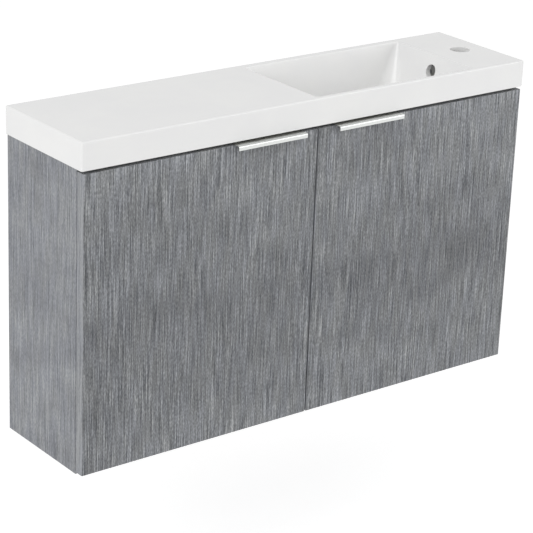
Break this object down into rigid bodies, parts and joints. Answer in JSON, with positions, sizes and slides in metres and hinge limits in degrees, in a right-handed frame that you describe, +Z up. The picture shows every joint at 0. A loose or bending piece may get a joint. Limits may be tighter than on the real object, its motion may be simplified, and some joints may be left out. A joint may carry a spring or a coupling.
{
  "type": "vanity unit with basin",
  "caption": "Slim wall-hung two-door vanity cabinet in grey woodgrain with a one-piece white basin slab: flat shelf at the left, bowl right of centre, tap hole at the right.",
  "frame": {"origin": "on the wall plane, at the centre of the four wall plate screw holes", "axes": "+X to the unit's right as seen from the front, the front faces -Y, +Z up"},
  "size_m": [0.9, 0.2345, 0.554],
  "materials": {
    "cast_mineral": "white cast marble with a glossy gel coat",
    "embossed_board": "particle board with grey embossed woodgrain foil, matt",
    "woodgrain_board": "particle board with grey woodgrain laminate, matt",
    "carcass_board": "particle board with grey woodgrain laminate, matt",
    "satin_aluminium": "satin anodised",
    "beech": "bare beech",
    "zinc_casting": "die-cast zinc",
    "clear_buffer": "soft clear polyurethane",
    "white_plastic": "moulded white plastic",
    "galvanised_steel": "galvanised steel strip",
    "zinc_plated_steel": "zinc-plated steel",
    "nickel_plated_steel": "nickel-plated pressed steel"
  },
  "bodies": {
    "cabinet": {"basin": "cast_mineral", "left_side_panel": "woodgrain_board", "right_side_panel": "woodgrain_board", "bottom_panel": "carcass_board", "back_upper_rail": "carcass_board", "back_lower_rail": "carcass_board", "front_rail": "carcass_board", "divider": "woodgrain_board", "shelf": "carcass_board", "shelf_pins": "zinc_plated_steel", "dowels": "beech", "cam_locks": "zinc_casting", "cam_bolts": "zinc_plated_steel", "door_buffers": "clear_buffer", "hinge_arm_pins": "zinc_plated_steel", "hinge_arm_screws": "zinc_plated_steel", "hinge_plate_screws": "zinc_plated_steel", "hanger_screws": "zinc_plated_steel", "left_hanger": "white_plastic", "left_hanger_hook": "galvanised_steel", "left_wall_plate": "galvanised_steel", "left_top_hinge_arm": "nickel_plated_steel", "left_top_hinge_plate": "nickel_plated_steel", "left_bottom_hinge_arm": "nickel_plated_steel", "left_bottom_hinge_plate": "nickel_plated_steel", "right_hanger": "white_plastic", "right_hanger_hook": "galvanised_steel", "right_wall_plate": "galvanised_steel", "right_top_hinge_arm": "nickel_plated_steel", "right_top_hinge_plate": "nickel_plated_steel", "right_bottom_hinge_arm": "nickel_plated_steel", "right_bottom_hinge_plate": "nickel_plated_steel"},
    "left_door": {"left_door": "embossed_board", "left_handle": "satin_aluminium", "left_handle_screws": "zinc_plated_steel", "left_cup_pins": "zinc_plated_steel", "left_cup_screws": "zinc_plated_steel", "left_top_hinge_cup": "nickel_plated_steel", "left_bottom_hinge_cup": "nickel_plated_steel"},
    "left_top_long_link": {"left_top_hinge_long_link": "nickel_plated_steel"},
    "left_top_hook_link": {"left_top_hinge_hook_link": "nickel_plated_steel"},
    "left_bottom_long_link": {"left_bottom_hinge_long_link": "nickel_plated_steel"},
    "left_bottom_hook_link": {"left_bottom_hinge_hook_link": "nickel_plated_steel"},
    "right_door": {"right_door": "embossed_board", "right_handle": "satin_aluminium", "right_handle_screws": "zinc_plated_steel", "right_cup_pins": "zinc_plated_steel", "right_cup_screws": "zinc_plated_steel", "right_top_hinge_cup": "nickel_plated_steel", "right_bottom_hinge_cup": "nickel_plated_steel"},
    "right_top_long_link": {"right_top_hinge_long_link": "nickel_plated_steel"},
    "right_top_hook_link": {"right_top_hinge_hook_link": "nickel_plated_steel"},
    "right_bottom_long_link": {"right_bottom_hinge_long_link": "nickel_plated_steel"},
    "right_bottom_hook_link": {"right_bottom_hinge_hook_link": "nickel_plated_steel"}
  },
  "joints": [
    {"name": "left_top_long_link_pivot", "type": "hinge", "parent": "cabinet", "child": "left_top_long_link", "pos_m": [-0.408, -0.176, -0.05], "axis": [0, 0, 1], "range_deg": [0, 37.61]},
    {"name": "left_top_hook_link_pivot", "type": "hinge", "parent": "cabinet", "child": "left_top_hook_link", "pos_m": [-0.4168, -0.1973, -0.05], "axis": [0, 0, 1], "range_deg": [0, 63.81]},
    {"name": "left_bottom_long_link_pivot", "type": "hinge", "parent": "cabinet", "child": "left_bottom_long_link", "pos_m": [-0.408, -0.176, -0.379], "axis": [0, 0, 1], "range_deg": [0, 37.61]},
    {"name": "left_bottom_hook_link_pivot", "type": "hinge", "parent": "cabinet", "child": "left_bottom_hook_link", "pos_m": [-0.4168, -0.1973, -0.379], "axis": [0, 0, 1], "range_deg": [0, 63.81]},
    {"name": "left_door_hinge", "type": "hinge", "parent": "left_top_long_link", "child": "left_door", "pos_m": [-0.4343, -0.2037, -0.05], "axis": [0, 0, -1], "range_deg": [0, 132.6]},
    {"name": "right_top_long_link_pivot", "type": "hinge", "parent": "cabinet", "child": "right_top_long_link", "pos_m": [0.408, -0.176, -0.05], "axis": [0, 0, -1], "range_deg": [0, 37.61]},
    {"name": "right_top_hook_link_pivot", "type": "hinge", "parent": "cabinet", "child": "right_top_hook_link", "pos_m": [0.4168, -0.1973, -0.05], "axis": [0, 0, -1], "range_deg": [0, 63.81]},
    {"name": "right_bottom_long_link_pivot", "type": "hinge", "parent": "cabinet", "child": "right_bottom_long_link", "pos_m": [0.408, -0.176, -0.379], "axis": [0, 0, -1], "range_deg": [0, 37.61]},
    {"name": "right_bottom_hook_link_pivot", "type": "hinge", "parent": "cabinet", "child": "right_bottom_hook_link", "pos_m": [0.4168, -0.1973, -0.379], "axis": [0, 0, -1], "range_deg": [0, 63.81]},
    {"name": "right_door_hinge", "type": "hinge", "parent": "right_top_long_link", "child": "right_door", "pos_m": [0.4343, -0.2037, -0.05], "axis": [0, 0, 1], "range_deg": [0, 132.6]}
  ],
  "couplings": [
    {"joint": "left_top_long_link_pivot", "follows": "left_door_hinge", "ratio": 0.28356},
    {"joint": "left_top_hook_link_pivot", "follows": "left_door_hinge", "ratio": 0.48115},
    {"joint": "left_bottom_long_link_pivot", "follows": "left_door_hinge", "ratio": 0.28356},
    {"joint": "left_bottom_hook_link_pivot", "follows": "left_door_hinge", "ratio": 0.48115},
    {"joint": "right_top_long_link_pivot", "follows": "right_door_hinge", "ratio": 0.28356},
    {"joint": "right_top_hook_link_pivot", "follows": "right_door_hinge", "ratio": 0.48115},
    {"joint": "right_bottom_long_link_pivot", "follows": "right_door_hinge", "ratio": 0.28356},
    {"joint": "right_bottom_hook_link_pivot", "follows": "right_door_hinge", "ratio": 0.48115}
  ]
}
